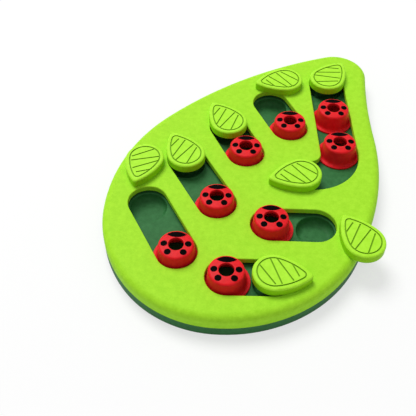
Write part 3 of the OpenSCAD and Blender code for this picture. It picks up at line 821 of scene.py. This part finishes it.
phase = sum_of(foot_tree, "MULTIPLY", rings_out, 2 * math.pi)
wave = sum_of(foot_tree, "MULTIPLY_ADD", sum_of(foot_tree, "COSINE", phase), -0.5, 0.5)
rise = add(foot_tree, "ShaderNodeCombineXYZ", Z=sum_of(foot_tree, "MULTIPLY", wave, given["Ring Depth"]))
ringed = add(
    foot_tree, "GeometryNodeSetPosition", Geometry=disc, Selection=on_sole, Offset=rise.outputs["Vector"])
end_tree(foot_tree, given, [ringed.outputs["Geometry"]])
feet = made_on("ringed_feet", foot_tree, [(x, y, 0.0) for x, y, _ in case_places], {
    "Radius": 0.006, "Height": 0.0025, "Ring Pitch": 0.0015, "Ring Depth": 0.0006, "Finish": rubber})
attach(feet, "board")
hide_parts("rubber_feet")
lowest = min(v.co.z for v in feet.data.vertices)
print("feet:", len(feet.data.polygons), "faces; lowest point", round(lowest, 6))

# %% [markdown]
# ## The floor
#
# The floor is plain white and keeps a soft shadow. A white studio floor is lit until it washes out,
# which would also bleach the object, so the floor does it alone: to the camera, and in reflections,
# most of it is an even white of strength 1, and the rest is the lit floor with its shadow.

# %% Lay the floor
floor_mesh = bpy.data.meshes.new("floor")
half, washed_share = 6.0, 0.63
white = (1.0, 1.0, 1.0, 1.0)
corners = [(-half, -half, 0), (half, -half, 0), (half, half, 0), (-half, half, 0)]
floor_mesh.from_pydata(corners, [], [(0, 1, 2, 3)])
floor = bpy.data.objects.new("floor", floor_mesh)
scene.collection.objects.link(floor)
floor_finish, floor_tree, floor_shader = blank_finish("floor_white")
floor_shader.inputs["Base Color"].default_value = white
floor_shader.inputs["Roughness"].default_value = 0.9
floor_shader.inputs["Specular IOR Level"].default_value = 0.1


def seen_share(tree):
    """1 where the camera, a reflection or a clear piece looks, and 0 for light that bounces."""
    path = tree.nodes.new("ShaderNodeLightPath").outputs
    mirrored = sum_of(tree, "MAXIMUM", path["Is Glossy Ray"], path["Is Transmission Ray"])
    return sum_of(tree, "MAXIMUM", path["Is Camera Ray"], mirrored)


washed_out = sum_of(floor_tree, "MULTIPLY", seen_share(floor_tree), washed_share)
plain_white = add(floor_tree, "ShaderNodeEmission", Color=white, Strength=1.0)
floor_mix = add(floor_tree, "ShaderNodeMixShader", Fac=washed_out)
# The mix's two shader sockets share one name, so they are picked by number
floor_tree.links.new(floor_shader.outputs["BSDF"], floor_mix.inputs[1])
floor_tree.links.new(plain_white.outputs["Emission"], floor_mix.inputs[2])
floor_tree.links.new(floor_mix.outputs["Shader"], floor_tree.nodes["Material Output"].inputs["Surface"])
floor_mesh.materials.append(floor_finish)
print("floor laid,", 2 * half, "m wide")

# %% [markdown]
# ## The light
#
# One large lamp from the far left gives the shape and the soft shadow on the near right. The world
# fills the shadows at a lower level, and looks white where it is seen. Together they light a level
# surface at about 1, where a colour renders about as it is written.

# %% Hang the lamp and fill the shadows
key_place = Vector((-1.2, 2.0, 4.0))
key_level = 0.67
fill_level = 0.37
key_data = bpy.data.lights.new("key", "AREA")
key_data.shape = "DISK"
key_data.size = 2.6
slant = key_place.z / key_place.length
key_data.energy = key_level * math.pi ** 2 * key_place.length_squared / slant
key = bpy.data.objects.new("key", key_data)
key.location = key_place
key.rotation_mode = "QUATERNION"
key.rotation_quaternion = (-key_place).to_track_quat("-Z", "Y")
scene.collection.objects.link(key)

world = bpy.data.worlds.new("studio")
world.use_nodes = True
sky_tree = world.node_tree
sky = sky_tree.nodes["Background"]
sky.inputs["Color"].default_value = white
sky_level = between(sky_tree, seen_share(sky_tree), fill_level, 1.0, start=0.0, end=1.0)
sky_tree.links.new(sky_level, sky.inputs["Strength"])
scene.world = world
scene.view_settings.view_transform = "Standard"
print("lamp", round(key_data.energy), "W, fill", fill_level)

# %% [markdown]
# ## The camera
#
# The camera stands where the photographer stood: in front of the board, about half a metre up, and
# looking down at some fifty degrees. Its place and its lens were fitted to points of the board that
# are easy to find in the picture. It is turned by giving it two directions, the one it looks along
# and the one on its right, which are easier to check than three angles. Everything is sharp, so there
# is no depth of field.

# %% Set up the camera
camera_data = bpy.data.cameras.new("camera")
camera_data.sensor_width = 36.0
camera_data.lens = 56.62
camera_data.clip_start = 0.01
camera = bpy.data.objects.new("camera", camera_data)
look = Vector((-0.0251, 0.6489, -0.7605)).normalized()
right = Vector((0.99925, 0.0387, 0.0)).normalized()
up = right.cross(look)
axes = Matrix((right, up, -look)).transposed()
camera_place = Vector((-0.0207, -0.4571, 0.4896))
camera.matrix_world = Matrix.Translation(camera_place) @ axes.to_4x4()
scene.collection.objects.link(camera)
scene.camera = camera
print("camera at", [round(x, 3) for x in camera_place], "lens", round(camera_data.lens, 2))
